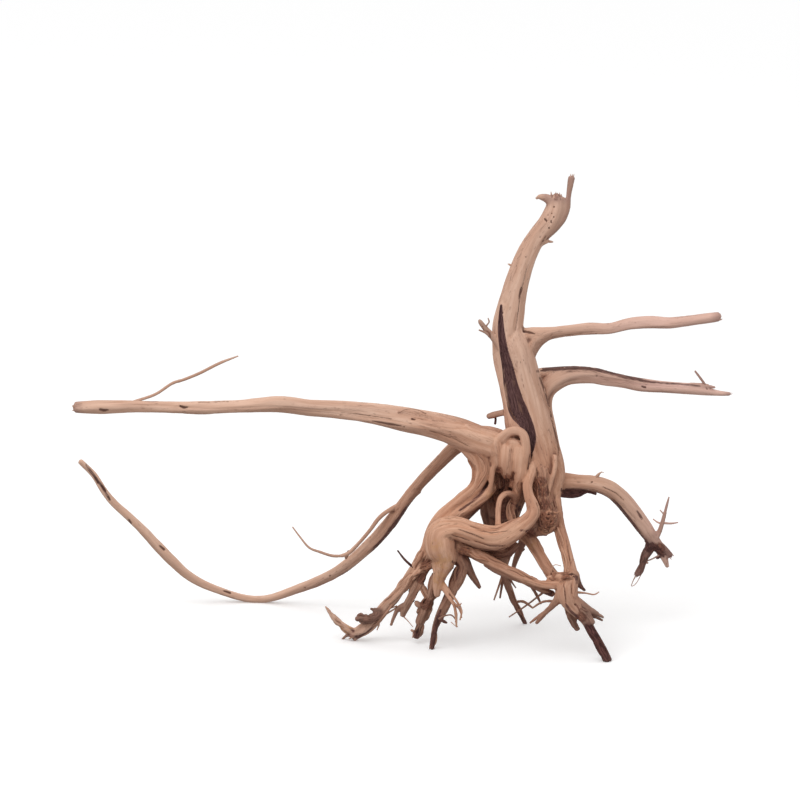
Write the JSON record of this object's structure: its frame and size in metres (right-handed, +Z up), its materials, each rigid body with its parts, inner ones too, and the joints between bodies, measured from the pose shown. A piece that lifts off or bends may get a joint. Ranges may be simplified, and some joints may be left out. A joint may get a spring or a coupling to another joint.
{
  "type": "driftwood root",
  "caption": "Dry washed root crown with one broken upright stem, a hollow groove in it, long bare limbs to both sides and a tangle of forked rootlets that it stands on.",
  "frame": {"origin": "middle of the bounding box's footprint, on the plane that the root ends stand on", "axes": "+Z up, +X along the longest reach, from the long left limbs to the right ones, and -Y towards the root's front"},
  "size_m": [0.6583, 0.2391, 0.4634],
  "materials": {
    "driftwood": "dry washed bare wood, dull, with fibrous grain and dark hollows"
  },
  "bodies": {
    "root": {"driftwood_root": "driftwood"}
  },
  "joints": []
}
